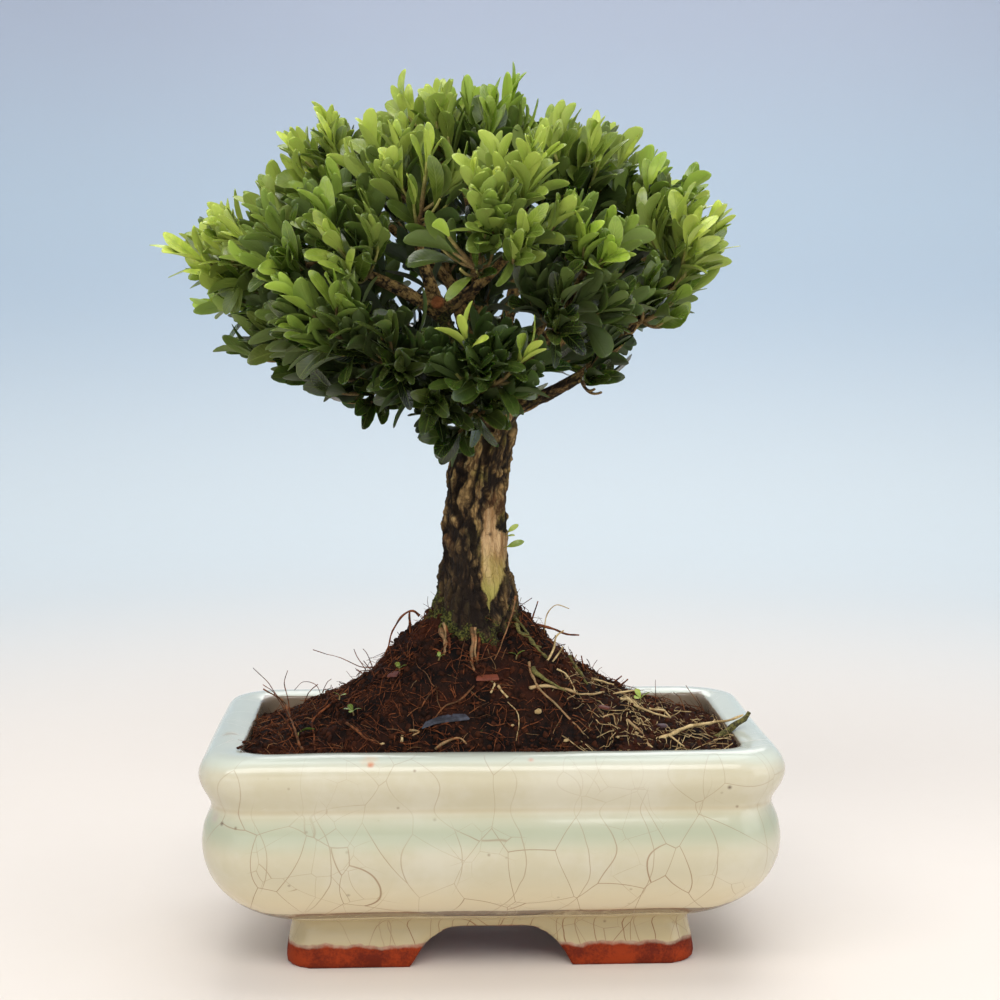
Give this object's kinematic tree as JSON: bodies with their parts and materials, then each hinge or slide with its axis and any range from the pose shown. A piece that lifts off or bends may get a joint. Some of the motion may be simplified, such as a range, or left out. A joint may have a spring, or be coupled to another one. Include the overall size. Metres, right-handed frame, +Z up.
{
  "type": "boxwood bonsai",
  "caption": "Small-leaved boxwood bonsai with a thick corky trunk and a broad dense crown, growing from mounded soil in a crackle-glazed rectangular pot on low feet.",
  "frame": {"origin": "centre of the whole outline seen from above, on the surface that the pot's feet stand on", "axes": "+Z up the trunk, +X along the pot's long side, +Y from the pot's front to its back"},
  "size_m": [0.1902, 0.1322, 0.2766],
  "materials": {
    "glaze": "gloss",
    "screen": "matte",
    "soil": "matte",
    "bark": "matte",
    "leaf_old": "satin",
    "leaf_grown": "satin",
    "leaf_young": "satin"
  },
  "bodies": {
    "root": {"pot": "glaze", "drain_screen_left": "screen", "drain_screen_right": "screen", "soil": "soil", "trunk_and_branches": "bark", "spray_far_left": "leaf_young", "spray_left_low": "leaf_grown", "spray_lower_left": "leaf_old", "spray_bottom_left": "leaf_old", "spray_left_bright": "leaf_young", "spray_left_inner": "leaf_grown", "spray_left_crown": "leaf_young", "spray_left_front": "leaf_young", "spray_upper_left": "leaf_young", "spray_tall_leaf": "leaf_young", "spray_top_middle": "leaf_grown", "spray_top_front": "leaf_young", "spray_top_right": "leaf_grown", "spray_front_middle": "leaf_grown", "spray_front_high": "leaf_young", "spray_front_bright": "leaf_young", "spray_yellow_top": "leaf_young", "spray_right_pair": "leaf_young", "spray_right_round": "leaf_grown", "spray_right_crown": "leaf_young", "spray_right_crown_back": "leaf_young", "spray_far_right": "leaf_young", "spray_right_pale": "leaf_grown", "spray_right_upright": "leaf_old", "spray_right_low": "leaf_old", "spray_bright_low": "leaf_young", "spray_bright_low_right": "leaf_young", "spray_dark_fan": "leaf_old", "spray_hanging": "leaf_old", "spray_dark_middle": "leaf_old", "spray_right_middle": "leaf_grown", "spray_left_wood": "leaf_old", "spray_left_under": "leaf_old", "spray_front_left_low": "leaf_old", "spray_front_left": "leaf_grown", "spray_crown_left": "leaf_grown", "spray_back_far_left": "leaf_grown", "spray_back_left_low": "leaf_old", "spray_back_left_crown": "leaf_young", "spray_back_left": "leaf_grown", "spray_back_left_top": "leaf_young", "spray_back_middle": "leaf_grown", "spray_back_top": "leaf_young", "spray_back_centre": "leaf_grown", "spray_back_high": "leaf_grown", "spray_back_top_right": "leaf_young", "spray_back_right": "leaf_grown", "spray_back_right_crown": "leaf_young", "spray_back_right_low": "leaf_old", "spray_back_far_right": "leaf_grown", "spray_back_low_left": "leaf_old", "spray_back_low": "leaf_old", "spray_back_low_right": "leaf_old", "spray_side_low_left": "leaf_old", "spray_side_low_right": "leaf_old"}
  },
  "joints": []
}
